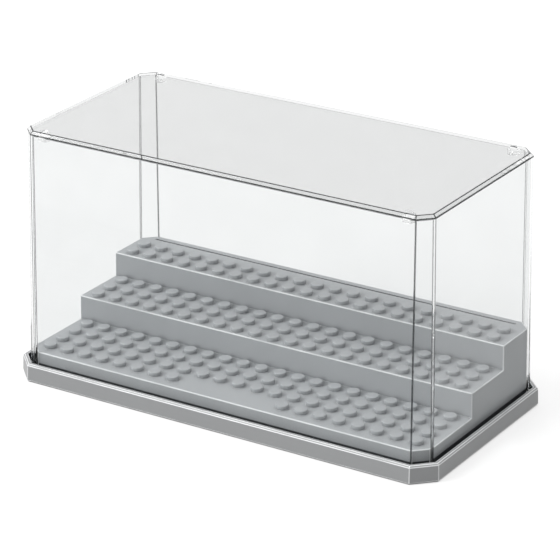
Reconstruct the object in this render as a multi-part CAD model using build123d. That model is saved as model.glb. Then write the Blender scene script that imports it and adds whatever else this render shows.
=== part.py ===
"""Figure display case: a shallow tray, a three-tier studded deck and a clear lift-off cover.

Millimetres. X runs along the length, Y from the front (negative) to the back, Z up.
The origin is the middle of the footprint, on the surface that the case stands on.
"""
import os
from math import sqrt

from build123d import *

# Stud grid: one unbroken grid runs over all three tiers
stud_pitch = 8.0
stud_diameter = 4.9
stud_height = 1.7
middle_rows = 3
rear_rows = 2
label_columns = 5
least_margin = 6.0

# Sides of the round features: few, because there are so many studs.
# The corner studs of each tier, from which its grid is gauged, are true cylinders.
stud_sides = 12
cup_sides = 14
screw_sides = 12
pad_sides = 24

# Deck
deck_length = 173.0
deck_depth = 82.6
deck_corner = 5.0
deck_wall = 2.0
deck_skin = 2.0
front_deck_height = 11.2
tier_rise = 9.8
row_to_riser = 3.5
rear_margin = 12.2
rib_thickness = 1.2
rib_pitch = 2 * stud_pitch
rib_from_front = 15.3
rib_foot_gap = 0.3
slot_width = 1.0
slot_depth = 1.2
slot_from_side = 6.0
slot_from_back = 3.6

# Cover
total_height = 100.0
cover_wall = 1.4
cover_top = 2.0
cover_bevel = 1.2
cover_seat_gap = 0.1
socket_diameter = 3.0
socket_depth = 2.6
socket_wall = 0.8
socket_floor = 0.9
socket_from_side = 10.8
socket_from_front = 4.6

# Tray
foot_height = 0.5
tray_floor = 2.0
rim_height = 7.2
rim_land = 1.2
rim_bevel = 0.6
tray_flare = 0.2

# Fits between the pieces, per side
deck_to_cover = 0.3
cover_to_rim = 1.0

# Draft of the deck and the cover, as inset per unit of height
draft = 0.015

# Screws that hold the deck down, and their bosses
screw_diameter = 2.6
screw_length = 9.0
screw_head_diameter = 4.8
screw_head_height = 1.2
screw_clearance = 0.2
screw_pilot_gap = 0.05
boss_wall = 1.4
screw_to_pad = 1.0

# Foot pads
pad_diameter = 10.0
pad_recess = 0.6
pad_clearance = 0.15
pad_inset = 12.0

# Levels worked out from the sizes above
floor_top = foot_height + tray_floor
middle_deck_height = front_deck_height + tier_rise
rear_deck_height = middle_deck_height + tier_rise
cover_base = floor_top + cover_seat_gap

# Stud rows and risers, counted from the back of the deck
rear_row = deck_depth / 2 - rear_margin
rear_riser = rear_row - (rear_rows - 1) * stud_pitch - row_to_riser
middle_row = rear_row - rear_rows * stud_pitch
middle_riser = middle_row - (middle_rows - 1) * stud_pitch - row_to_riser
front_row = middle_row - middle_rows * stud_pitch

# Studs that fit on the deck, and the ribs beneath it
stud_columns = 1 + int((deck_length - 2 * least_margin) // stud_pitch)
front_rows = 1 + int((front_row + deck_depth / 2 - least_margin) // stud_pitch)
first_rib = rib_from_front - deck_depth / 2
rib_rows = 1 + int((deck_depth / 2 - deck_wall - rib_pitch / 2 - first_rib) // rib_pitch)
last_rib = first_rib + (rib_rows - 1) * rib_pitch

# Offsets of the nested outlines from the foot of the deck
cover_inside = deck_to_cover
cover_outside = cover_inside + cover_wall
rim_inside = cover_outside + cover_to_rim
rim_outside = rim_inside + rim_land + rim_bevel


def outline(offset, height):
    """Rectangle with cut corners, grown evenly from the deck's foot."""
    x = deck_length / 2 + offset
    y = deck_depth / 2 + offset
    cut = deck_corner + offset * (2 - sqrt(2))
    corners = [
        (x - cut, -y), (x, cut - y), (x, y - cut), (x - cut, y),
        (cut - x, y), (-x, y - cut), (-x, cut - y), (cut - x, -y),
    ]
    return Pos(0, 0, height) * make_face(Polyline(corners, close=True))


def prism(low_offset, low, high_offset, high):
    """Solid between two outlines."""
    return loft([outline(low_offset, low), outline(high_offset, high)], ruled=True)


def drafted(offset, low, high):
    """Block whose sides lean in by the common draft, true to offset at the tray floor."""
    low_inset = draft * (low - floor_top)
    high_inset = draft * (high - floor_top)
    return prism(offset - low_inset, low, offset - high_inset, high)


def above(y_end, level):
    """Space in front of y_end and above a level."""
    reach = deck_length
    block = Box(2 * reach, reach, reach, align=(Align.CENTER, Align.MAX, Align.MIN))
    return Pos(0, y_end, level) * block


def stepped(offset, drop):
    """The three tiers as one block, grown by offset and lowered by drop."""
    block = drafted(offset, floor_top, rear_deck_height - drop)
    block -= above(rear_riser - offset, middle_deck_height - drop)
    return block - above(middle_riser - offset, front_deck_height - drop)


def post(x, y, radius, low, high, sides):
    """Upright round post between two levels."""
    return Pos(x, y, low) * extrude(RegularPolygon(radius, sides), high - low)


def stud(x, y, level, rounded):
    """One stud, as a true cylinder or with few sides."""
    radius = stud_diameter / 2
    if rounded:
        return Pos(x, y, level) * Cylinder(radius, stud_height, align=(Align.CENTER, Align.CENTER, Align.MIN))
    return post(x, y, radius, level, level + stud_height, stud_sides)


def row_studs(last_row, rows, level, skipped=0):
    """Studs of one tier, its front row bare over the middle columns."""
    studs = []
    end = (stud_columns - 1) / 2
    for row in range(rows):
        for column in range(stud_columns):
            place = column - end
            bare = row == rows - 1 and abs(place) < skipped / 2
            corner = abs(place) == end and row in (0, rows - 1)
            if not bare:
                studs.append(stud(place * stud_pitch, last_row - row * stud_pitch, level, corner))
    return studs


def all_studs():
    """Studs of the three tiers."""
    studs = row_studs(rear_row, rear_rows, rear_deck_height)
    studs += row_studs(middle_row, middle_rows, middle_deck_height)
    studs += row_studs(front_row, front_rows, front_deck_height, label_columns)
    return studs


def screw_spots():
    """Screw places: the outermost crossings of the ribs that clear the foot pads."""
    reach = pad_spots()["front_right"][0] - (pad_diameter + screw_head_diameter) / 2 - screw_to_pad
    x = reach // rib_pitch * rib_pitch
    return [(side * x, y) for side in (-1, 1) for y in (first_rib, last_rib)]


def deck_ribs():
    """Crossed ribs under the treads, short of the tray floor."""
    foot = floor_top + rib_foot_gap
    height = rear_deck_height - foot
    standing = (Align.CENTER, Align.CENTER, Align.MIN)
    cross_count = int((deck_length / 2 - deck_wall) // rib_pitch)
    ribs = []
    for index in range(-cross_count, cross_count + 1):
        ribs.append(Pos(index * rib_pitch, 0, foot) * Box(rib_thickness, deck_depth, height, align=standing))
    for index in range(rib_rows):
        y = first_rib + index * rib_pitch
        ribs.append(Pos(0, y, foot) * Box(deck_length, rib_thickness, height, align=standing))
    return ribs


def stepped_deck():
    """Three-tier studded deck: a thin stepped shell with ribs and screw bosses beneath."""
    hollow = stepped(-deck_wall, deck_skin)
    boss_radius = screw_diameter / 2 + boss_wall
    bosses = [post(x, y, boss_radius, floor_top, rear_deck_height, screw_sides) for x, y in screw_spots()]
    hollow = hollow - (deck_ribs() + bosses)
    deck = stepped(0, 0) - hollow
    slot = Pos(0, deck_depth / 2 - slot_from_back, rear_deck_height) * Box(
        deck_length - 2 * slot_from_side, slot_width, 2 * slot_depth)
    pilot_radius = screw_diameter / 2 + screw_pilot_gap
    pilot_top = foot_height + screw_length + screw_clearance
    pilots = [post(x, y, pilot_radius, floor_top, pilot_top, screw_sides) for x, y in screw_spots()]
    deck = deck - slot - pilots
    return deck + all_studs()


def screw_cutter(gap):
    """Countersunk screw, head down, grown by gap; its head lies on the underside of the tray."""
    head = screw_head_diameter / 2 + gap
    shank = screw_diameter / 2 + gap
    rim = RegularPolygon(head, screw_sides)
    neck = Pos(0, 0, screw_head_height) * RegularPolygon(shank, screw_sides)
    return loft([rim, neck], ruled=True) + post(0, 0, shank, screw_head_height, screw_length, screw_sides)


def deck_screws():
    """Self-tapping screws, with their heads flush in the tray."""
    screw = screw_cutter(0)
    return Compound([Pos(x, y, foot_height) * screw for x, y in screw_spots()])


def pad_spots():
    """Middles of the four foot pads."""
    x = deck_length / 2 - pad_inset
    y = deck_depth / 2 - pad_inset
    return {"front_left": (-x, -y), "front_right": (x, -y), "rear_left": (-x, y), "rear_right": (x, y)}


def base_tray():
    """Shallow tray whose rim stands round the foot of the cover."""
    shoulder = rim_height - rim_bevel
    tray = prism(rim_outside + tray_flare, foot_height, rim_outside, shoulder)
    tray += prism(rim_outside, shoulder, rim_outside - rim_bevel, rim_height)
    tray -= prism(rim_inside, floor_top, rim_inside, rim_height)
    for x, y in screw_spots():
        tray -= Pos(x, y, foot_height) * screw_cutter(screw_clearance / 2)
    for x, y in pad_spots().values():
        tray -= post(x, y, pad_diameter / 2 + pad_clearance, foot_height, foot_height + pad_recess, pad_sides)
    return tray


def foot_pad(x, y):
    """Soft round pad, let into the underside of the tray."""
    pad = post(x, y, pad_diameter / 2, 0, foot_height + pad_recess, pad_sides)
    return chamfer(pad.faces().sort_by(Axis.Z)[0].edges(), foot_height / 2)


def socket_spots():
    """Middles of the four stacking sockets in the top of the cover."""
    x = deck_length / 2 + cover_outside - socket_from_side
    y = deck_depth / 2 + cover_outside - socket_from_front
    return [(sx * x, sy * y) for sx in (-1, 1) for sy in (-1, 1)]


def clear_cover():
    """One-piece clear cover: drafted walls, cut corners, bevelled top edge, round sockets."""
    shoulder = total_height - cover_bevel
    top_offset = cover_outside - draft * (shoulder - floor_top)
    ceiling = total_height - cover_top
    cover = drafted(cover_outside, cover_base, shoulder)
    cover += prism(top_offset, shoulder, top_offset - cover_bevel, total_height)
    cover -= drafted(cover_inside, cover_base, ceiling)
    socket_base = total_height - socket_depth
    cup_radius = socket_diameter / 2 + socket_wall
    for x, y in socket_spots():
        cover += post(x, y, cup_radius, socket_base - socket_floor, ceiling, cup_sides)
        cover -= post(x, y, socket_diameter / 2, socket_base, total_height, cup_sides)
    return cover


def parts():
    """Every piece of the case by its name."""
    pieces = {
        "base_tray": base_tray(),
        "stepped_deck": stepped_deck(),
        "deck_screws": deck_screws(),
        "clear_cover": clear_cover(),
    }
    for place, (x, y) in pad_spots().items():
        pieces["foot_pad_" + place] = foot_pad(x, y)
    return pieces


if __name__ == "__main__":
    os.makedirs("parts", exist_ok=True)
    for name, piece in parts().items():
        export_step(piece, f"parts/{name}.step")
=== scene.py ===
"""Figure display case: a studded three-tier deck under a clear cover, in a shallow tray."""

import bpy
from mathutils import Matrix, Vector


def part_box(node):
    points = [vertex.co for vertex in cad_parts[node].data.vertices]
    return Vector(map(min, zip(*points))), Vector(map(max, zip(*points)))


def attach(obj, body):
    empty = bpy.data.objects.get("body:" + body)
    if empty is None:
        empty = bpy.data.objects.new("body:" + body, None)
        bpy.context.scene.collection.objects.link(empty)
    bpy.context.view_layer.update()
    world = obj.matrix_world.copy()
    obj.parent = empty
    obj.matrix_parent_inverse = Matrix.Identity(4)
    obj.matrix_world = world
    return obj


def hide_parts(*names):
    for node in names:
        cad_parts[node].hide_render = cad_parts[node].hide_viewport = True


bl_info = {
    "name": "Figure display case",
    "version": (1, 0, 0),
    "blender": (4, 5, 0),
    "location": "3D View > Sidebar > Display Case",
    "description": "Builds the visible pieces of a display case round its packed frame",
    "category": "Object",
}

from math import cos, pi, radians, sin, sqrt

import bmesh
import bpy
from mathutils import Matrix, Vector

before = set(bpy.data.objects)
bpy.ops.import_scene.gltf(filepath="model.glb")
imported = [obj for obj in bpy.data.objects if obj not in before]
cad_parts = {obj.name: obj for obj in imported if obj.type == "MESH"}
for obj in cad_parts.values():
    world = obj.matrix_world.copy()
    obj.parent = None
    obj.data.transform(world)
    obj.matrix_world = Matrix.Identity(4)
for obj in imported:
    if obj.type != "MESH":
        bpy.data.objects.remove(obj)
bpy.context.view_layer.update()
DECK_LOW, DECK_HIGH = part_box("stepped_deck")
COVER_LOW, COVER_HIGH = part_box("clear_cover")
TRAY_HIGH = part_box("base_tray")[1]
MM = 0.001
DEFAULT_LENGTH = DECK_HIGH.x - DECK_LOW.x
DEFAULT_DEPTH = DECK_HIGH.y - DECK_LOW.y

# Material slots of the cover, two of them for painted shade lines, and the slot of the painted edge
# highlight on the deck and the tray
WALL, TOP, BEVEL, SOCKET, CORNER_SHADE_LINES, RIM_SHADE_LINES = range(6)
HIGHLIGHT = 1

# How far a cutter stands out of what it cuts, a cup reaches into the top, and a stud into its tread
CUTTER_REACH = 1.0 * MM
CUP_ROOT = 0.4 * MM
STUD_ROOT = 0.2 * MM

# Edges bent by more than these angles count as sharp
EDGE_ANGLE = radians(25.0)
TRAY_EDGE_ANGLE = radians(30.0)
SMOOTH_ANGLE = radians(35.0)
FLAT_ANGLE = radians(1.0)

# Scales of the surface noise, in cycles per metre
DRIFT_SCALE = 28.0
FLOOR_SCALE = 30.0
HAZE_SCALE = 60.0
# The next two break up the painted highlight on the edges
HIGHLIGHT_PATCH_SCALE = 60.0
HIGHLIGHT_BREAK_SCALE = 90.0
CLOUD_SCALE = 140.0
WIPE_SCALE = 220.0
# The next one breaks up the painted shade in the corners
SHADE_PATCH_SCALE = 260.0
PLATING_SCALE = 900.0
BLOOM_SCALE = 1500.0
GRAIN_SCALE = 4200.0

# Painted shade in the gap round the deck: past the rim's inner side, its two soft edges, and its top below
# the rim's
MOAT_PAST_RIM = 0.05 * MM
MOAT_SIDE_FADE = 0.15 * MM
MOAT_TOP_FADE = 0.3 * MM
MOAT_DEPTH = 0.35 * MM

# Refractive index of the grey plastic, and the bounces after which light counts as caught in the clear one
GREY_INDEX = 1.52
CAUGHT_DEPTH = 4.5

# The floor: its half width, and the distances from the tray over which its glow comes in
FLOOR_REACH = 4.0
GLOW_UNDER_TRAY = -1.0 * MM
GLOW_START = 0.02
GLOW_END = 0.80
FLOOR_GREY = (0.36, 0.36, 0.36)
FLOOR_PALER = (0.38, 0.38, 0.38)

# The camera, fitted to the photograph, and the lamps
VIEW_AZIMUTH = radians(31.955)
VIEW_ELEVATION = radians(22.519)
VIEW_DISTANCE = 1.1024
VIEW_AIM = Vector((0.0, -0.05 * MM, 44.7 * MM))
VIEW_LENS = 189.8
VIEW_SHIFT = (0.0048, -0.0029)
LAMP_AIM = Vector((0.0, 0.0, 0.04))
KEY_PLACE = Vector((-1.1, -1.2, 1.4))
KEY_SIDE = 1.0
OVERHEAD_PLACE = Vector((-0.2, 0.3, 1.9))
OVERHEAD_SIDE = 1.2


def length(name, text, default):
    """A length that shows in the panel, in metres."""
    return bpy.props.FloatProperty(
        name=name, description=text, default=default, unit="LENGTH", precision=5)


def colour(name, text, default):
    """A colour that shows in the panel, as linear light."""
    return bpy.props.FloatVectorProperty(
        name=name, description=text, default=default, subtype="COLOR", size=3, min=0.0, max=1.0)


def share(name, text, default):
    """A plain number from 0 to 1."""
    return bpy.props.FloatProperty(name=name, description=text, default=default, min=0.0, max=1.0)


def repeats(name, text, default):
    """A whole number of repeats."""
    return bpy.props.IntProperty(name=name, description=text, default=default, min=1)


def watts(name, text, default):
    """The power of a lamp."""
    return bpy.props.FloatProperty(name=name, description=text, default=default, min=0.0, unit="POWER")


class CaseSizes(bpy.types.PropertyGroup):
    """Sizes of the visible pieces."""
    stud_columns: repeats("Stud columns", "Columns of studs along the deck", 21)
    front_rows: repeats("Front rows", "Rows of studs on the front tread", 4)
    middle_rows: repeats("Middle rows", "Rows of studs on the middle tread", 3)
    rear_rows: repeats("Rear rows", "Rows of studs on the rear tread", 2)
    bare_columns: repeats("Bare columns", "Middle columns without a stud in the front row", 5)
    stud_pitch: length("Stud pitch", "Distance between neighbouring studs", 8.0 * MM)
    stud_diameter: length("Stud diameter", "Diameter of one stud", 4.9 * MM)
    stud_height: length("Stud height", "Height of one stud above its tread", 1.7 * MM)
    stud_round: length("Stud rounding", "Radius of the top edge of a stud", 0.35 * MM)
    deck_length: length("Deck length", "Length at the foot", DEFAULT_LENGTH)
    deck_depth: length("Deck depth", "Depth at the foot", DEFAULT_DEPTH)
    deck_corner: length("Corner cut", "Leg of the deck's cut corners", 5.0 * MM)
    front_tread: length("Front tread", "Height of the front tread", 11.2 * MM)
    tier_rise: length("Tier rise", "Rise of each tier over the one before it", 9.8 * MM)
    rear_margin: length("Rear margin", "From the last stud row to the back", 12.2 * MM)
    row_to_riser: length("Row to riser", "From a tier's front row to its riser", 3.5 * MM)
    slot_width: length("Slot width", "Width of the slot for a backdrop card", 1.0 * MM)
    slot_depth: length("Slot depth", "Depth of the slot for a backdrop card", 1.2 * MM)
    slot_from_side: length("Slot from side", "From an end of the slot to the side", 6.0 * MM)
    slot_from_back: length("Slot from back", "From the slot's middle to the back", 3.6 * MM)
    edge_line: length("Edge line", "Leg of the fine chamfer on the clear edges", 0.26 * MM)
    edge_round: length("Edge rounding", "Radius of the deck's moulded edges", 0.36 * MM)
    rim_round: length("Rim rounding", "Radius of the tray's moulded edges", 0.144 * MM)
    deck_to_cover: length("Cover clearance", "Gap between deck and cover", 0.3 * MM)
    cover_to_rim: length("Rim clearance", "Gap between cover and rim", 1.0 * MM)
    cover_wall: length("Cover wall", "Thickness of the clear walls", 1.4 * MM)
    cover_top: length("Cover top", "Thickness of the clear top", 2.0 * MM)
    cover_bevel: length("Cover bevel", "Bevel round the top edge", 1.2 * MM)
    socket_diameter: length("Socket diameter", "Round sockets in the top", 3.0 * MM)
    socket_depth: length("Socket depth", "Depth of the round sockets", 2.6 * MM)
    socket_wall: length("Socket wall", "Wall of the cup round a socket", 0.8 * MM)
    socket_floor: length("Socket floor", "Floor of the cup under a socket", 0.9 * MM)
    socket_from_side: length("Socket from side", "Socket's middle to the side", 10.8 * MM)
    socket_from_front: length("Socket from front", "Socket's middle to the front", 4.6 * MM)
    draft: share("Draft", "Inset of the moulded walls per unit of height", 0.015)


class CaseFinish(bpy.types.PropertyGroup):
    """Colours and finish of the pieces."""
    deck_grey: colour("Deck grey", "Moulded grey of the deck", (0.448, 0.460, 0.474))
    tray_grey: colour("Tray grey", "Moulded grey of the tray", (0.298, 0.303, 0.308))
    # Painted highlight: the pale grey of the moulded edges
    highlight_grey: colour("Highlight grey", "Paler grey where edges are rubbed", (0.93, 0.94, 0.95))
    wall_tint: colour("Wall tint", "Tint of the clear walls", (0.893, 0.900, 0.900))
    # Painted shade: the clear top is tinted darker than the walls of the same plastic
    shaded_top_tint: colour("Top tint", "Tint of the clear top", (0.77, 0.772, 0.772))
    # Painted shade: near-black lines round the clear top and dark lines at its corners, in place of the
    # darkness refraction gives there
    rim_line_shade: colour("Rim tint", "Tint of the lines round the clear top", (0.012, 0.0125, 0.013))
    corner_line_shade: colour("Corner tint", "Tint of the lines at the clear corners", (0.17, 0.173, 0.175))
    bevel_tint: colour("Bevel tint", "Tint of the clear bevels", (1.0, 1.0, 1.0))
    clear_index: bpy.props.FloatProperty(
        name="Clear index", description="Refractive index of the clear plastic",
        default=1.14, min=1.0, max=2.0)
    # Painted shade: the dark grey of grooves, inner corners and the gap round the deck
    painted_shade_grey: colour("Groove grey", "Dark grey deep in the grooves", (0.040, 0.042, 0.045))
    corner_shade: share("Corner shade", "How far grooves and inner corners darken", 0.60)
    moat_shade: share("Moat shade", "How far the gap round the deck darkens", 0.95)
    pad_black: colour("Pad black", "Colour of the foot pads", (0.030, 0.030, 0.032))
    screw_grey: colour("Screw grey", "Plating of the screws", (0.56, 0.56, 0.57))
    satin: share("Satin", "Roughness of the grey plastic", 0.42)
    # How far the painted highlight on the moulded edges shows
    edge_highlight: share("Edge highlight", "How far rubbed edges show", 0.85)


class CaseStage(bpy.types.PropertyGroup):
    """Light of the stage."""
    key_power: watts("Key power", "Power of the lamp in front, on the left", 32.0)
    overhead_power: watts("Overhead power", "Power of the lamp overhead", 9.5)
    world_light: share("World light", "Strength of the world as a light", 0.71)
    near_glow: share("Near glow", "Glow of the floor just past the tray", 0.65)
    far_glow: share("Far glow", "Glow that the floor gains with the distance", 0.08)


# Mesh helpers

def outline(sizes, offset, height):
    """Corners of the deck's foot outline, grown evenly by offset, at a height."""
    x = sizes.deck_length / 2 + offset
    y = sizes.deck_depth / 2 + offset
    cut = sizes.deck_corner + offset * (2 - sqrt(2))
    flat = [
        (x - cut, -y), (x, cut - y), (x, y - cut), (x - cut, y),
        (cut - x, y), (-x, y - cut), (-x, cut - y), (cut - x, -y),
    ]
    return [Vector((px, py, height)) for px, py in flat]


def skin(shape, rings):
    """Side faces through a list of rings of points, then the cap of the first and of the last."""
    loops = [[shape.verts.new(point) for point in ring] for ring in rings]
    sides = len(loops[0])
    for low, high in zip(loops, loops[1:]):
        for i in range(sides):
            j = (i + 1) % sides
            shape.faces.new((low[i], low[j], high[j], high[i]))
    shape.faces.new(list(reversed(loops[0])))
    shape.faces.new(loops[-1])


def rings_mesh(name, rings):
    """Closed mesh object through a list of rings."""
    shape = bmesh.new()
    skin(shape, rings)
    bmesh.ops.recalc_face_normals(shape, faces=shape.faces)
    return finished(name, shape)


def finished(name, shape):
    """Mesh object from a bmesh, linked to the scene."""
    mesh = bpy.data.meshes.new(name)
    shape.to_mesh(mesh)
    shape.free()
    piece = bpy.data.objects.new(name, mesh)
    bpy.context.scene.collection.objects.link(piece)
    return piece


def block(name, low, high):
    """Plain box between two corners, used only as a cutter."""
    shape = bmesh.new()
    middle = (Vector(low) + Vector(high)) / 2
    size = Vector(high) - Vector(low)
    place = Matrix.Translation(middle) @ Matrix.Diagonal((*size, 1.0))
    bmesh.ops.create_cube(shape, size=1.0, matrix=place)
    return finished(name, shape)


def rod(name, x, y, radius, low, high, sides=48):
    """Upright rod between two heights."""
    shape = bmesh.new()
    place = Matrix.Translation((x, y, (low + high) / 2))
    bmesh.ops.create_cone(
        shape, cap_ends=True, segments=sides, radius1=radius, radius2=radius,
        depth=high - low, matrix=place)
    return finished(name, shape)


def combine(piece, tools, operation):
    """Cuts tools from a piece or fuses them to it, and removes the tools."""
    for tool in tools:
        step = piece.modifiers.new("combine", "BOOLEAN")
        step.object = tool
        step.operation = operation
        step.solver = "EXACT"
    bake_modifiers(piece)
    for tool in tools:
        bpy.data.objects.remove(tool)


def joined(piece, other):
    """Joins another mesh of one material to a piece's own, and keeps that material."""
    shape = bmesh.new()
    shape.from_mesh(piece.data)
    own = len(shape.faces)
    shape.from_mesh(other.data)
    shape.faces.ensure_lookup_table()
    for face in shape.faces[own:]:
        face.material_index = len(piece.data.materials)
    shape.to_mesh(piece.data)
    shape.free()
    for material in other.data.materials:
        piece.data.materials.append(material)
    bpy.data.objects.remove(other)


def bake_modifiers(piece):
    """Turns a piece's modifiers into its mesh."""
    graph = bpy.context.evaluated_depsgraph_get()
    mesh = bpy.data.meshes.new_from_object(piece.evaluated_get(graph))
    old = piece.data
    piece.modifiers.clear()
    piece.data = mesh
    mesh.name = old.name
    bpy.data.meshes.remove(old)


def mark_outer_edges(piece):
    """Marks the sharp edges that stand out, and not the inner corners."""
    shape = bmesh.new()
    shape.from_mesh(piece.data)
    weight = shape.edges.layers.float.new("bevel_weight_edge")
    for edge in shape.edges:
        if edge.is_convex and edge.calc_face_angle(0.0) > EDGE_ANGLE:
            edge[weight] = 1.0
    shape.to_mesh(piece.data)
    shape.free()


def round_edges(piece, radius, angle=None):
    """Moulded radius in the plastic with the painted highlight, on the marked edges or on those sharper
    than an angle.
    """
    step = piece.modifiers.new("edge radius", "BEVEL")
    # The bevel faces carry the painted highlight
    step.material = HIGHLIGHT
    step.width = radius
    step.segments = 2
    step.use_clamp_overlap = False
    step.limit_method = "WEIGHT"
    if angle is not None:
        step.limit_method = "ANGLE"
        step.angle_limit = angle


def smooth(piece):
    """Smooth shading that breaks at sharp edges."""
    piece.data.polygons.foreach_set("use_smooth", [True] * len(piece.data.polygons))
    piece.data.set_sharp_from_angle(angle=SMOOTH_ANGLE)


def drafted(sizes, offset, height):
    """Outline of a wall that leans in by the common draft above the tray floor."""
    return outline(sizes, offset - sizes.draft * (height - DECK_LOW.z), height)


# Node helpers

def group_shell(name, inputs, outputs):
    """Empty node group with its named sockets."""
    tree = bpy.data.node_groups.new(name, "ShaderNodeTree")
    for label, kind, value in inputs:
        socket = tree.interface.new_socket(label, in_out="INPUT", socket_type=kind)
        if value is not None:
            socket.default_value = value
    for label, kind in outputs:
        tree.interface.new_socket(label, in_out="OUTPUT", socket_type=kind)
    start = tree.nodes.new("NodeGroupInput")
    end = tree.nodes.new("NodeGroupOutput")
    return tree, start, end


def node(tree, kind, **values):
    """New node; plain keywords set its properties."""
    made = tree.nodes.new(kind)
    for key, value in values.items():
        setattr(made, key, value)
    return made


def maths(tree, operation, first, second=None, clamp=False):
    """Math node; each operand is a socket or a number."""
    made = node(tree, "ShaderNodeMath", operation=operation, use_clamp=clamp)
    for place, value in enumerate((first, second)):
        if value is None:
            continue
        if isinstance(value, (int, float)):
            made.inputs[place].default_value = value
        else:
            tree.links.new(value, made.inputs[place])
    return made.outputs[0]


def ramp(tree, source, low, high, out_low=0.0, out_high=1.0):
    """Map Range from one span to another, clamped and smooth."""
    made = node(tree, "ShaderNodeMapRange", clamp=True, interpolation_type="SMOOTHSTEP")
    tree.links.new(source, made.inputs["Value"])
    made.inputs["From Min"].default_value = low
    made.inputs["From Max"].default_value = high
    made.inputs["To Min"].default_value = out_low
    made.inputs["To Max"].default_value = out_high
    return made.outputs["Result"]


def noise(tree, where, scale, detail=3.0, rough=0.55):
    """Noise texture read at a position."""
    made = node(tree, "ShaderNodeTexNoise")
    tree.links.new(where, made.inputs["Vector"])
    made.inputs["Scale"].default_value = scale
    made.inputs["Detail"].default_value = detail
    made.inputs["Roughness"].default_value = rough
    return made.outputs["Fac"]


def mix_colour(tree, factor, first, second):
    """Mix of two colours; each is a socket or a colour."""
    made = node(tree, "ShaderNodeMix", data_type="RGBA")
    for label, value in (("Factor", factor), ("A", first), ("B", second)):
        socket = [s for s in made.inputs if s.name == label and s.enabled][0]
        if isinstance(value, bpy.types.NodeSocket):
            tree.links.new(value, socket)
        elif label == "Factor":
            socket.default_value = value
        else:
            socket.default_value = (*value, 1.0)
    return [s for s in made.outputs if s.enabled][0]


def product(tree, *factors):
    """Product of sockets and numbers, held between 0 and 1."""
    result = factors[0]
    for factor in factors[1:]:
        result = maths(tree, "MULTIPLY", result, factor, clamp=True)
    return result


def beyond_outline(tree, where, sizes, offset):
    """Distance outside the deck's foot outline grown by offset, negative inside it."""
    half_length = sizes.deck_length / 2 + offset
    half_depth = sizes.deck_depth / 2 + offset
    cut = sizes.deck_corner + offset * (2 - sqrt(2))
    apart = node(tree, "ShaderNodeSeparateXYZ")
    tree.links.new(where, apart.inputs[0])
    along = maths(tree, "ABSOLUTE", apart.outputs["X"])
    across = maths(tree, "ABSOLUTE", apart.outputs["Y"])
    corner = maths(tree, "SUBTRACT", maths(tree, "ADD", along, across), half_length + half_depth - cut)
    sides = maths(tree, "MAXIMUM", maths(tree, "SUBTRACT", along, half_length),
                  maths(tree, "SUBTRACT", across, half_depth))
    return maths(tree, "MAXIMUM", sides, maths(tree, "MULTIPLY", corner, 1 / sqrt(2)))


def moulded_grain():
    """Group: fine grain of a satin moulded surface, with slow changes of tone and gloss."""
    name = "Moulded grain"
    if name in bpy.data.node_groups:
        return bpy.data.node_groups[name]
    tree, start, end = group_shell(
        name,
        [("Colour", "NodeSocketColor", None),
         ("Roughness", "NodeSocketFloat", 0.4),
         ("Drift", "NodeSocketFloat", 0.04)],
        [("Colour", "NodeSocketColor"),
         ("Roughness", "NodeSocketFloat"),
         ("Height", "NodeSocketFloat")])
    where = node(tree, "ShaderNodeTexCoord").outputs["Object"]
    slow = noise(tree, where, DRIFT_SCALE, detail=2.0)
    cloud = noise(tree, where, CLOUD_SCALE, detail=4.0)
    grain = noise(tree, where, GRAIN_SCALE, detail=2.0, rough=0.6)
    # The two noises add up to about 1, so tone swings about 0, and the factor on the colour about 1
    tone = maths(tree, "SUBTRACT", maths(tree, "ADD", slow, cloud), 1.0)
    tone = maths(tree, "ADD", maths(tree, "MULTIPLY", tone, start.outputs["Drift"]), 1.0)
    scaled = node(tree, "ShaderNodeVectorMath", operation="SCALE")
    tree.links.new(start.outputs["Colour"], scaled.inputs[0])
    tree.links.new(tone, scaled.inputs["Scale"])
    tree.links.new(scaled.outputs[0], end.inputs["Colour"])
    middle = 0.5
    cloud_share, grain_share = 0.18, 0.10
    spread = maths(tree, "MULTIPLY", maths(tree, "SUBTRACT", cloud, middle), cloud_share)
    fine = maths(tree, "MULTIPLY", maths(tree, "SUBTRACT", grain, middle), grain_share)
    rough = maths(tree, "ADD", maths(tree, "ADD", start.outputs["Roughness"], spread), fine, clamp=True)
    tree.links.new(rough, end.inputs["Roughness"])
    grain_height, cloud_height = 0.6, 0.4
    pits = maths(tree, "MULTIPLY", grain, grain_height)
    waves = maths(tree, "MULTIPLY", cloud, cloud_height)
    tree.links.new(maths(tree, "ADD", pits, waves), end.inputs["Height"])
    return tree


def painted_edge_highlight():
    """Group: mask of the painted highlight on the moulded edges, broken up by noise."""
    name = "Rubbed edges"
    if name in bpy.data.node_groups:
        return bpy.data.node_groups[name]
    tree, start, end = group_shell(
        name, [("Amount", "NodeSocketFloat", 0.5), ("Width", "NodeSocketFloat", 0.0004)],
        [("Mask", "NodeSocketFloat")])
    soft = node(tree, "ShaderNodeBevel", samples=6)
    tree.links.new(start.outputs["Width"], soft.inputs["Radius"])
    sharp = node(tree, "ShaderNodeNewGeometry")
    turn = node(tree, "ShaderNodeVectorMath", operation="DOT_PRODUCT")
    tree.links.new(soft.outputs["Normal"], turn.inputs[0])
    tree.links.new(sharp.outputs["True Normal"], turn.inputs[1])
    bent = ramp(tree, turn.outputs["Value"], low=0.998, high=0.92)
    where = node(tree, "ShaderNodeTexCoord").outputs["Object"]
    patchy = ramp(
        tree, noise(tree, where, HIGHLIGHT_BREAK_SCALE, detail=4.0), low=0.30, high=0.62, out_low=0.45, out_high=1.0)
    tree.links.new(product(tree, bent, patchy, start.outputs["Amount"]), end.inputs["Mask"])
    return tree


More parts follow.
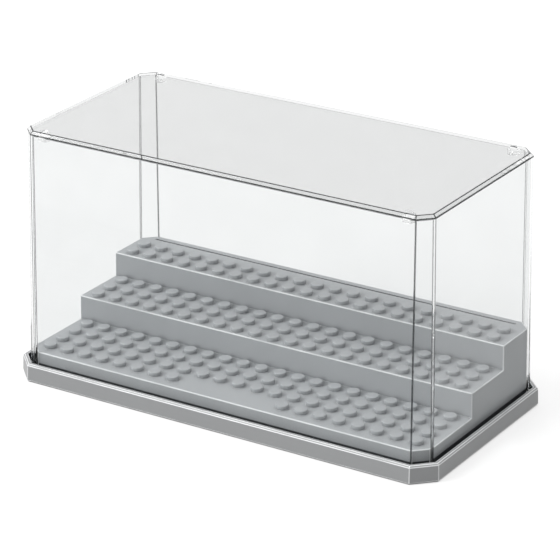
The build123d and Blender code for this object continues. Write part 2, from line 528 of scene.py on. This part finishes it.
def shaded_corners():
    """Group: mask of the painted shade in the grooves and inner corners, broken up by noise."""
    name = "Shaded corners"
    if name in bpy.data.node_groups:
        return bpy.data.node_groups[name]
    tree, start, end = group_shell(
        name, [("Amount", "NodeSocketFloat", 0.5), ("Reach", "NodeSocketFloat", 0.003)],
        [("Mask", "NodeSocketFloat")])
    hidden = node(tree, "ShaderNodeAmbientOcclusion", samples=8, only_local=True)
    tree.links.new(start.outputs["Reach"], hidden.inputs["Distance"])
    deep = ramp(tree, hidden.outputs["AO"], low=0.95, high=0.25)
    where = node(tree, "ShaderNodeTexCoord").outputs["Object"]
    patchy = ramp(
        tree, noise(tree, where, SHADE_PATCH_SCALE, detail=3.0), low=0.3, high=0.7, out_low=0.8, out_high=1.0)
    tree.links.new(product(tree, deep, patchy, start.outputs["Amount"]), end.inputs["Mask"])
    return tree


def moat_shade(sizes):
    """Group: mask of the painted shade deep in the gap between the deck and the rim of the tray."""
    name = "Moat shade"
    if name in bpy.data.node_groups:
        return bpy.data.node_groups[name]
    tree, start, end = group_shell(
        name, [("Amount", "NodeSocketFloat", 0.5), ("Level", "NodeSocketFloat", 0.007)],
        [("Mask", "NodeSocketFloat")])
    where = node(tree, "ShaderNodeTexCoord").outputs["Object"]
    reach = sizes.deck_to_cover + sizes.cover_wall + sizes.cover_to_rim + MOAT_PAST_RIM
    inside = ramp(tree, beyond_outline(tree, where, sizes, reach), low=MOAT_SIDE_FADE, high=0.0)
    apart = node(tree, "ShaderNodeSeparateXYZ")
    tree.links.new(where, apart.inputs[0])
    below = maths(tree, "SUBTRACT", start.outputs["Level"], apart.outputs["Z"])
    below = ramp(tree, below, low=0.0, high=MOAT_TOP_FADE)
    tree.links.new(product(tree, inside, below, start.outputs["Amount"]), end.inputs["Mask"])
    return tree


def new_material(name):
    """Material with a Principled shader and its tree."""
    material = bpy.data.materials.new(name)
    material.use_nodes = True
    return material, material.node_tree, material.node_tree.nodes["Principled BSDF"]


def grey_plastic(name, grey, sizes, finish, edge_width, shade_reach):
    """Satin moulded grey plastic, with a painted highlight at its edges and painted shade in its corners
    and round the deck.
    """
    material, tree, shader = new_material(name)
    grain = node(tree, "ShaderNodeGroup", node_tree=moulded_grain())
    grain.inputs["Colour"].default_value = (*grey, 1.0)
    grain.inputs["Roughness"].default_value = finish.satin
    grain.inputs["Drift"].default_value = 0.06
    # Painted highlight along the moulded edges
    worn = node(tree, "ShaderNodeGroup", node_tree=painted_edge_highlight())
    worn.inputs["Amount"].default_value = finish.edge_highlight
    worn.inputs["Width"].default_value = edge_width
    # Painted shade in the inner corners, from occlusion
    deep = node(tree, "ShaderNodeGroup", node_tree=shaded_corners())
    deep.inputs["Amount"].default_value = finish.corner_shade
    deep.inputs["Reach"].default_value = shade_reach
    base = mix_colour(tree, deep.outputs["Mask"], grain.outputs["Colour"], tuple(finish.painted_shade_grey))
    # Painted shade deep in the gap round the deck
    moat = node(tree, "ShaderNodeGroup", node_tree=moat_shade(sizes))
    moat.inputs["Amount"].default_value = finish.moat_shade
    moat.inputs["Level"].default_value = TRAY_HIGH.z - MOAT_DEPTH
    base = mix_colour(tree, moat.outputs["Mask"], base, tuple(finish.painted_shade_grey))
    base = mix_colour(tree, worn.outputs["Mask"], base, tuple(finish.highlight_grey))
    tree.links.new(base, shader.inputs["Base Color"])
    tree.links.new(grain.outputs["Roughness"], shader.inputs["Roughness"])
    bump = node(tree, "ShaderNodeBump")
    bump.inputs["Strength"].default_value = 0.16
    bump.inputs["Distance"].default_value = 0.05 * MM
    tree.links.new(grain.outputs["Height"], bump.inputs["Height"])
    tree.links.new(bump.outputs["Normal"], shader.inputs["Normal"])
    shader.inputs["IOR"].default_value = GREY_INDEX
    return material


def highlight_plastic(name, grey, finish):
    """Painted highlight: paler grey of the moulded edges, broken up by noise."""
    material, tree, shader = new_material(name)
    grain = node(tree, "ShaderNodeGroup", node_tree=moulded_grain())
    grain.inputs["Colour"].default_value = (*finish.highlight_grey, 1.0)
    polish = 0.8
    grain.inputs["Roughness"].default_value = polish * finish.satin
    grain.inputs["Drift"].default_value = 0.10
    where = node(tree, "ShaderNodeTexCoord").outputs["Object"]
    # Noise breaks up the painted highlight on the edges
    least_highlight = 0.55 * finish.edge_highlight
    highlighted = ramp(
        tree, noise(tree, where, HIGHLIGHT_PATCH_SCALE, detail=4.0),
        low=0.30, high=0.55, out_low=least_highlight, out_high=finish.edge_highlight)
    base = mix_colour(tree, highlighted, grey, grain.outputs["Colour"])
    tree.links.new(base, shader.inputs["Base Color"])
    tree.links.new(grain.outputs["Roughness"], shader.inputs["Roughness"])
    shader.inputs["IOR"].default_value = GREY_INDEX
    return material


def clear_plastic(name, tint, finish, bare=0.0):
    """Clear moulded plastic that casts no dark shadow and lets out the light caught in its walls.

    The share called bare lets everything straight through.
    """
    material, tree, shader = new_material(name)
    where = node(tree, "ShaderNodeTexCoord").outputs["Object"]
    haze = ramp(
        tree, noise(tree, where, HAZE_SCALE, detail=5.0, rough=0.6),
        low=0.35, high=0.75, out_low=0.985, out_high=1.0)
    scaled = node(tree, "ShaderNodeVectorMath", operation="SCALE")
    scaled.inputs[0].default_value = tuple(tint)
    tree.links.new(haze, scaled.inputs["Scale"])
    tree.links.new(scaled.outputs[0], shader.inputs["Base Color"])
    wiped = ramp(
        tree, noise(tree, where, WIPE_SCALE, detail=3.0),
        low=0.35, high=0.8, out_low=0.0048, out_high=0.024)
    tree.links.new(wiped, shader.inputs["Roughness"])
    shader.inputs["Transmission Weight"].default_value = 1.0
    shader.inputs["IOR"].default_value = finish.clear_index
    clear = node(tree, "ShaderNodeBsdfTransparent")
    clear.inputs["Color"].default_value = (*tint, 1.0)
    rays = node(tree, "ShaderNodeLightPath")
    # Lamps and bounced light shine straight through, and so does light after many turns in a wall
    through = maths(tree, "MAXIMUM", rays.outputs["Is Shadow Ray"], rays.outputs["Is Diffuse Ray"])
    caught = maths(tree, "GREATER_THAN", rays.outputs["Ray Depth"], CAUGHT_DEPTH)
    through = maths(tree, "MAXIMUM", through, caught)
    if bare:
        through = maths(tree, "MAXIMUM", through, bare)
    mixed = node(tree, "ShaderNodeMixShader")
    tree.links.new(through, mixed.inputs["Fac"])
    tree.links.new(shader.outputs["BSDF"], mixed.inputs[1])
    tree.links.new(clear.outputs["BSDF"], mixed.inputs[2])
    output = tree.nodes["Material Output"]
    tree.links.new(mixed.outputs["Shader"], output.inputs["Surface"])
    return material


def screw_plating(finish):
    """Plated steel with duller patches."""
    material, tree, shader = new_material("screw_plating")
    where = node(tree, "ShaderNodeTexCoord").outputs["Object"]
    worn = noise(tree, where, PLATING_SCALE, detail=4.0)
    rough = ramp(tree, worn, low=0.3, high=0.7, out_low=0.22, out_high=0.42)
    tree.links.new(rough, shader.inputs["Roughness"])
    bright = tuple(finish.screw_grey)
    dull = tuple(0.6 * part for part in bright)
    patches = mix_colour(tree, ramp(tree, worn, low=0.45, high=0.8), bright, dull)
    tree.links.new(patches, shader.inputs["Base Color"])
    shader.inputs["Metallic"].default_value = 1.0
    return material


def pad_rubber(finish):
    """Black rubber with a faint pale bloom."""
    material, tree, shader = new_material("pad_rubber")
    where = node(tree, "ShaderNodeTexCoord").outputs["Object"]
    bloom = noise(tree, where, BLOOM_SCALE, detail=3.0)
    black = tuple(finish.pad_black)
    pale = tuple(2.2 * part for part in black)
    patches = mix_colour(tree, ramp(tree, bloom, low=0.4, high=0.75), black, pale)
    tree.links.new(patches, shader.inputs["Base Color"])
    rough = ramp(tree, bloom, low=0.3, high=0.7, out_low=0.7, out_high=0.9)
    tree.links.new(rough, shader.inputs["Roughness"])
    return material


def dress(piece, *materials):
    """Gives a piece its materials."""
    piece.data.materials.clear()
    for material in materials:
        piece.data.materials.append(material)


# Pieces

def last_rows(sizes):
    """Places along Y of the last stud row of the front, the middle and the rear tier."""
    rear = sizes.deck_depth / 2 - sizes.rear_margin
    middle = rear - sizes.rear_rows * sizes.stud_pitch
    front = middle - sizes.middle_rows * sizes.stud_pitch
    return front, middle, rear


def riser_places(sizes):
    """Places along Y of the middle and the rear riser, each in front of its tier's front row."""
    _, middle_row, rear_row = last_rows(sizes)
    middle = middle_row - (sizes.middle_rows - 1) * sizes.stud_pitch - sizes.row_to_riser
    rear = rear_row - (sizes.rear_rows - 1) * sizes.stud_pitch - sizes.row_to_riser
    return middle, rear


def tread_levels(sizes):
    """Heights of the three treads."""
    return [sizes.front_tread + tier * sizes.tier_rise for tier in range(3)]


def stepped_body(sizes):
    """Stepped deck without its studs, closed below, where it lies on the tray."""
    front, middle, rear = tread_levels(sizes)
    middle_riser, rear_riser = riser_places(sizes)
    body = rings_mesh("deck_body", [drafted(sizes, 0, DECK_LOW.z), drafted(sizes, 0, rear)])
    reach = sizes.deck_length
    air = [
        block("air_rear", (-reach, -reach, middle), (reach, rear_riser, reach)),
        block("air_middle", (-reach, -reach, front), (reach, middle_riser, reach)),
    ]
    combine(body, air, "DIFFERENCE")
    return body


def cut_slot(body, sizes):
    """Cuts the slot for a backdrop card into the rear tread."""
    rear = tread_levels(sizes)[2]
    middle = sizes.deck_depth / 2 - sizes.slot_from_back
    half = sizes.deck_length / 2 - sizes.slot_from_side
    air = block(
        "air_slot", (-half, middle - sizes.slot_width / 2, rear - sizes.slot_depth),
        (half, middle + sizes.slot_width / 2, 2 * rear))
    combine(body, [air], "DIFFERENCE")


def stud_profile(sizes, turns=4):
    """Half section of a stud, from just below its tread up the side and over the rounded top edge."""
    radius = sizes.stud_diameter / 2
    round_top = sizes.stud_round
    points = [(radius, -STUD_ROOT), (radius, round_top / 4)]
    for turn in range(turns + 1):
        angle = turn / turns * pi / 2
        points.append((
            radius - round_top + round_top * cos(angle),
            sizes.stud_height - round_top + round_top * sin(angle)))
    points.append((radius / 2, sizes.stud_height))
    return points


def stud_places(sizes):
    """Middle of every stud, at its tread."""
    front, middle, rear = tread_levels(sizes)
    front_row, middle_row, rear_row = last_rows(sizes)
    tiers = (
        (front_row, sizes.front_rows, front),
        (middle_row, sizes.middle_rows, middle),
        (rear_row, sizes.rear_rows, rear),
    )
    places = []
    for last_row, rows, level in tiers:
        for row in range(rows):
            y = last_row - row * sizes.stud_pitch
            for column in range(sizes.stud_columns):
                step = column - (sizes.stud_columns - 1) / 2
                in_front_row = level == front and row == rows - 1
                if in_front_row and abs(step) < sizes.bare_columns / 2:
                    continue
                places.append(Vector((step * sizes.stud_pitch, y, level)))
    return places


def stud_field(sizes, sides=32):
    """All the studs as one mesh."""
    angles = [2 * pi * side / sides for side in range(sides)]
    rings = [
        [Vector((radius * cos(angle), radius * sin(angle), height)) for angle in angles]
        for radius, height in stud_profile(sizes)
    ]
    shape = bmesh.new()
    for place in stud_places(sizes):
        skin(shape, [[place + point for point in ring] for ring in rings])
    return finished("deck_studs", shape)


def socket_places(sizes):
    """Middles of the four sockets in the top of the cover."""
    outside = sizes.deck_to_cover + sizes.cover_wall
    x = sizes.deck_length / 2 + outside - sizes.socket_from_side
    y = sizes.deck_depth / 2 + outside - sizes.socket_from_front
    return [(sx * x, sy * y) for sx in (-1, 1) for sy in (-1, 1)]


def clipped(points, clip):
    """Outline with each corner cut back a little, so that a narrow strip stands at every corner."""
    result = []
    for i, corner in enumerate(points):
        before = points[i - 1]
        after = points[(i + 1) % len(points)]
        result.append(corner + clip * (before - corner).normalized())
        result.append(corner + clip * (after - corner).normalized())
    return result


def clear_skin(name, rings, bands, low_cap, high_cap, materials):
    """Closed mesh through clipped rings.

    For each level, bands gives the material of the flats and that of the strips at the corners.
    """
    piece = rings_mesh(name, rings)
    dress(piece, *materials)
    sides = len(rings[0])
    faces = piece.data.polygons
    for level, (flat, corner) in enumerate(bands):
        for side in range(sides):
            faces[level * sides + side].material_index = flat if side % 2 else corner
    faces[len(bands) * sides].material_index = low_cap
    faces[len(bands) * sides + 1].material_index = high_cap
    return piece


def cover_shell(sizes, materials):
    """Clear cover: drafted walls, bevelled top edge and four socket cups."""
    outside = sizes.deck_to_cover + sizes.cover_wall
    inside = sizes.deck_to_cover
    top = COVER_HIGH.z
    foot = COVER_LOW.z
    line = sizes.edge_line
    slant = line / sqrt(2)
    shoulder = top - sizes.cover_bevel
    ceiling = top - sizes.cover_top
    lean = outside - sizes.draft * (shoulder - DECK_LOW.z)
    flat_top = lean - sizes.cover_bevel
    outer = [
        drafted(sizes, outside - line, foot),
        drafted(sizes, outside, foot + line),
        drafted(sizes, outside, shoulder - line),
        outline(sizes, lean - slant, shoulder + slant),
        outline(sizes, flat_top + slant, top - slant),
        outline(sizes, flat_top - line, top),
    ]
    # The dark lines round the top and at the corners are painted shade
    shell = clear_skin(
        "cover_shell", [clipped(ring, line) for ring in outer],
        [(BEVEL, BEVEL), (WALL, CORNER_SHADE_LINES), (RIM_SHADE_LINES, RIM_SHADE_LINES), (BEVEL, RIM_SHADE_LINES), (RIM_SHADE_LINES, RIM_SHADE_LINES)],
        BEVEL, TOP, materials)
    inner = [
        drafted(sizes, inside, foot - CUTTER_REACH),
        drafted(sizes, inside, ceiling - line),
        drafted(sizes, inside - line, ceiling),
    ]
    # The dark strips inside are painted shade too
    hollow = clear_skin(
        "cover_hollow", [clipped(ring, line) for ring in inner],
        [(WALL, CORNER_SHADE_LINES), (CORNER_SHADE_LINES, CORNER_SHADE_LINES)], WALL, TOP, materials)
    combine(shell, [hollow], "DIFFERENCE")
    socket_base = top - sizes.socket_depth
    cup_base = socket_base - sizes.socket_floor
    radius = sizes.socket_diameter / 2
    cup_radius = radius + sizes.socket_wall
    cups = []
    bores = []
    for i, (x, y) in enumerate(socket_places(sizes)):
        cups.append(rod(f"cup_{i}", x, y, cup_radius, cup_base, ceiling + CUP_ROOT))
        bores.append(rod(f"bore_{i}", x, y, radius, socket_base, top + CUTTER_REACH))
    for tool in cups + bores:
        dress(tool, *materials)
        for face in tool.data.polygons:
            face.material_index = SOCKET
    combine(shell, cups, "UNION")
    combine(shell, bores, "DIFFERENCE")
    return shell


class CASE_OT_deck(bpy.types.Operator):
    """Build the stepped deck with its studs"""
    bl_idname = "display_case.deck"
    bl_label = "Deck"

    def execute(self, context):
        sizes = context.scene.case_sizes
        finish = context.scene.case_finish
        grey = tuple(finish.deck_grey)
        reach = 2.4 * MM
        body = stepped_body(sizes)
        dress(
            body,
            grey_plastic("deck_grey_plastic", grey, sizes, finish, edge_width=0.2 * MM, shade_reach=reach),
            highlight_plastic("deck_painted_highlight", grey, finish))
        mark_outer_edges(body)
        round_edges(body, sizes.edge_round)
        bake_modifiers(body)
        cut_slot(body, sizes)
        studs = stud_field(sizes)
        smooth(studs)
        dress(
            studs,
            grey_plastic("stud_grey_plastic", grey, sizes, finish, edge_width=0.15 * MM, shade_reach=reach))
        joined(body, studs)
        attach(body, "base")
        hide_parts("stepped_deck")
        return {"FINISHED"}


class CASE_OT_tray(bpy.types.Operator):
    """Finish the tray with moulded edges and its grey"""
    bl_idname = "display_case.tray"
    bl_label = "Tray"

    def execute(self, context):
        sizes = context.scene.case_sizes
        finish = context.scene.case_finish
        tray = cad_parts["base_tray"]
        weld = tray.modifiers.new("weld", "WELD")
        weld.merge_threshold = 0.005 * MM
        flat = tray.modifiers.new("flat faces", "DECIMATE")
        flat.decimate_type = "DISSOLVE"
        flat.angle_limit = FLAT_ANGLE
        round_edges(tray, sizes.rim_round, TRAY_EDGE_ANGLE)
        grey = tuple(finish.tray_grey)
        reach = 4.0 * MM
        dress(
            tray,
            grey_plastic("tray_grey_plastic", grey, sizes, finish, edge_width=0.8 * MM, shade_reach=reach),
            highlight_plastic("tray_painted_highlight", grey, finish))
        return {"FINISHED"}


class CASE_OT_cover(bpy.types.Operator):
    """Build the clear cover with its sockets"""
    bl_idname = "display_case.cover"
    bl_label = "Cover"

    def execute(self, context):
        sizes = context.scene.case_sizes
        finish = context.scene.case_finish
        materials = (
            clear_plastic("clear_walls", tuple(finish.wall_tint), finish),
            clear_plastic("clear_shaded_top", tuple(finish.shaded_top_tint), finish),
            clear_plastic("clear_bevels", tuple(finish.bevel_tint), finish, bare=0.3),
            clear_plastic("clear_sockets", tuple(finish.bevel_tint), finish, bare=0.5),
            # Painted shade lines at the corners and round the top
            clear_plastic("clear_corner_shade_lines", tuple(finish.corner_line_shade), finish),
            clear_plastic("clear_rim_shade_lines", tuple(finish.rim_line_shade), finish))
        shell = cover_shell(sizes, materials)
        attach(shell, "cover")
        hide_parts("clear_cover")
        return {"FINISHED"}


class CASE_OT_underside(bpy.types.Operator):
    """Finish the screws and the foot pads"""
    bl_idname = "display_case.underside"
    bl_label = "Screws and pads"

    def execute(self, context):
        finish = context.scene.case_finish
        dress(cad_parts["deck_screws"], screw_plating(finish))
        rubber = pad_rubber(finish)
        for name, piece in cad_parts.items():
            if name.startswith("foot_pad"):
                dress(piece, rubber)
        return {"FINISHED"}


# Stage

def seen_rays(tree):
    """Light Path mask of what shows to the camera, also through the clear plastic or mirrored in it."""
    rays = node(tree, "ShaderNodeLightPath")
    seen = maths(tree, "MAXIMUM", rays.outputs["Is Camera Ray"], rays.outputs["Is Transmission Ray"])
    return maths(tree, "MAXIMUM", seen, rays.outputs["Is Glossy Ray"])


def white_world(light):
    """Pale world: white to the camera and in the clear plastic, softer as a light."""
    world = bpy.data.worlds.new("studio")
    bpy.context.scene.world = world
    world.use_nodes = True
    tree = world.node_tree
    back = tree.nodes["Background"]
    back.inputs["Color"].default_value = (1.0, 1.0, 1.0, 1.0)
    strength = ramp(tree, seen_rays(tree), low=0.0, high=1.0, out_low=light.world_light, out_high=1.0)
    tree.links.new(strength, back.inputs["Strength"])


def pale_floor(sizes, light):
    """Large pale floor that keeps a soft shadow of the case and is white to the camera beyond it."""
    shape = bmesh.new()
    bmesh.ops.create_grid(shape, x_segments=1, y_segments=1, size=FLOOR_REACH)
    floor = finished("floor", shape)
    material, tree, shader = new_material("pale_floor")
    where = node(tree, "ShaderNodeTexCoord").outputs["Object"]
    beyond = beyond_outline(tree, where, sizes, TRAY_HIGH.x - DECK_HIGH.x)
    near = ramp(tree, beyond, low=GLOW_UNDER_TRAY, high=0.0, out_low=0.0, out_high=light.near_glow)
    far = ramp(tree, beyond, low=GLOW_START, high=GLOW_END, out_low=0.0, out_high=light.far_glow)
    glow = maths(tree, "MULTIPLY", maths(tree, "ADD", near, far), seen_rays(tree))
    tree.links.new(glow, shader.inputs["Emission Strength"])
    shader.inputs["Emission Color"].default_value = (1.0, 1.0, 1.0, 1.0)
    grain = noise(tree, where, FLOOR_SCALE, detail=3.0)
    tree.links.new(mix_colour(tree, grain, FLOOR_GREY, FLOOR_PALER), shader.inputs["Base Color"])
    shader.inputs["Roughness"].default_value = 0.9
    shader.inputs["Specular IOR Level"].default_value = 0.0
    dress(floor, material)


def soft_lamp(name, place, side, power):
    """Large soft square lamp, aimed at the case."""
    lamp = bpy.data.lights.new(name, "AREA")
    lamp.shape = "SQUARE"
    lamp.size = side
    lamp.energy = power
    made = bpy.data.objects.new(name, lamp)
    made.location = place
    made.rotation_euler = (LAMP_AIM - place).to_track_quat("-Z", "Y").to_euler()
    bpy.context.scene.collection.objects.link(made)


def photo_camera():
    """Camera at the photograph's viewing angle."""
    level = cos(VIEW_ELEVATION)
    back = Vector((sin(VIEW_AZIMUTH) * level, -cos(VIEW_AZIMUTH) * level, sin(VIEW_ELEVATION)))
    lens = bpy.data.cameras.new("photo_camera")
    lens.sensor_width = 36.0
    lens.lens = VIEW_LENS
    lens.shift_x, lens.shift_y = VIEW_SHIFT
    lens.clip_start = 0.05
    camera = bpy.data.objects.new("photo_camera", lens)
    camera.location = VIEW_AIM + VIEW_DISTANCE * back
    camera.rotation_euler = (-back).to_track_quat("-Z", "Y").to_euler()
    bpy.context.scene.collection.objects.link(camera)
    bpy.context.scene.camera = camera


class CASE_OT_stage(bpy.types.Operator):
    """Set the pale floor, the soft lamps and the camera"""
    bl_idname = "display_case.stage"
    bl_label = "Stage"

    def execute(self, context):
        light = context.scene.case_stage
        context.scene.view_settings.view_transform = "Standard"
        photo_camera()
        white_world(light)
        pale_floor(context.scene.case_sizes, light)
        soft_lamp("key", KEY_PLACE, KEY_SIDE, light.key_power)
        soft_lamp("top", OVERHEAD_PLACE, OVERHEAD_SIDE, light.overhead_power)
        return {"FINISHED"}


class CASE_PT_panel(bpy.types.Panel):
    """Lists the pieces of the case"""
    bl_label = "Display Case"
    bl_idname = "CASE_PT_panel"
    bl_space_type = "VIEW_3D"
    bl_region_type = "UI"
    bl_category = "Display Case"

    def draw(self, context):
        for step in STEPS:
            self.layout.operator(step.bl_idname, text=step.bl_label)
        scene = context.scene
        for settings in (scene.case_sizes, scene.case_finish, scene.case_stage):
            box = self.layout.box()
            for name in settings.__annotations__:
                box.prop(settings, name)


STEPS = (CASE_OT_stage, CASE_OT_tray, CASE_OT_deck, CASE_OT_cover, CASE_OT_underside)
CLASSES = (CaseSizes, CaseFinish, CaseStage, *STEPS, CASE_PT_panel)


def register():
    """Registers the classes and the settings."""
    for item in CLASSES:
        bpy.utils.register_class(item)
    bpy.types.Scene.case_sizes = bpy.props.PointerProperty(type=CaseSizes)
    bpy.types.Scene.case_finish = bpy.props.PointerProperty(type=CaseFinish)
    bpy.types.Scene.case_stage = bpy.props.PointerProperty(type=CaseStage)


def unregister():
    """Removes the settings and the classes."""
    del bpy.types.Scene.case_stage
    del bpy.types.Scene.case_finish
    del bpy.types.Scene.case_sizes
    for item in reversed(CLASSES):
        bpy.utils.unregister_class(item)


def main():
    """Builds everything in order."""
    register()
    bpy.ops.display_case.stage()
    bpy.ops.display_case.tray()
    bpy.ops.display_case.deck()
    bpy.ops.display_case.cover()
    bpy.ops.display_case.underside()


if __name__ == "__main__":
    main()
